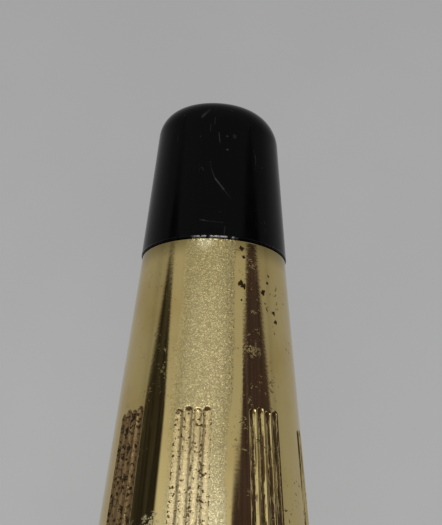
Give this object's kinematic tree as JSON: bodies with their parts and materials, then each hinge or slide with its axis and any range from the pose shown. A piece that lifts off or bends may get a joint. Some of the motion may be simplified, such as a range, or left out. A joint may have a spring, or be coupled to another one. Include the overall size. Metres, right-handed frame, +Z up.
{
  "type": "ballpoint pen",
  "caption": "Slim twist-action ballpoint pen in gold-coloured metal with engraved flute panels, a black conical top, a pocket clip and a refill that a helical cam drives in and out.",
  "frame": {"origin": "on the table, at the middle of the pen's box", "axes": "+Z up, +Y along the pen towards its conical top, +X to its side; the pen lies on its clip's root and on the barrel's belly"},
  "size_m": [0.0082, 0.133, 0.0098],
  "materials": {
    "gold": "worn gold-coloured plate, satin to polished, with dirt in the flutes",
    "black_gloss": "glossy black, lightly scratched",
    "inner_brass": "machined",
    "steel": "machined",
    "nylon": "moulded",
    "seal_rubber": "moulded",
    "ink": "thick paste"
  },
  "bodies": {
    "barrel": {"barrel_shell": "gold", "nose_cone": "gold", "barrel_bush": "inner_brass", "centre_ring": "gold", "guide_sleeve": "inner_brass", "friction_ring": "seal_rubber", "thrust_washer": "nylon", "end_cup": "inner_brass"},
    "cap": {"cap_shell": "gold", "clip_root": "gold", "conical_top": "black_gloss", "crown_stud": "steel", "top_bush": "inner_brass", "clip_bush": "inner_brass", "cap_liner": "inner_brass", "cam_tube": "inner_brass"},
    "clip": {"clip": "gold", "clip_button": "gold"},
    "refill": {"carrier": "inner_brass", "follower_pin": "steel", "refill_plug": "nylon", "refill_tube": "inner_brass", "ink_column": "ink", "refill_point": "inner_brass"},
    "ball": {"ball": "steel"}
  },
  "joints": [
    {"name": "twist", "type": "hinge", "parent": "barrel", "child": "cap", "pos_m": [0, -0.00052, 0.00486], "axis": [0, -0.9998, -0.0209], "range_deg": [0, 180]},
    {"name": "refill_slide", "type": "slide", "parent": "barrel", "child": "refill", "axis": [0, -0.9998, -0.0209], "range_m": [0, 0.005]},
    {"name": "clip_flex", "type": "hinge", "parent": "cap", "child": "clip", "pos_m": [0, 0.04238, 0.00035], "axis": [1, 0, 0], "range_deg": [0, 3], "stiffness_Nm_per_rad": 1.2},
    {"name": "ball_roll", "type": "hinge", "parent": "refill", "child": "ball", "pos_m": [0, -0.06491, 0.00352], "axis": [1, 0, 0], "continuous": true}
  ],
  "couplings": [
    {"joint": "twist", "follows": "refill_slide", "rad_per_m": 628.32}
  ]
}
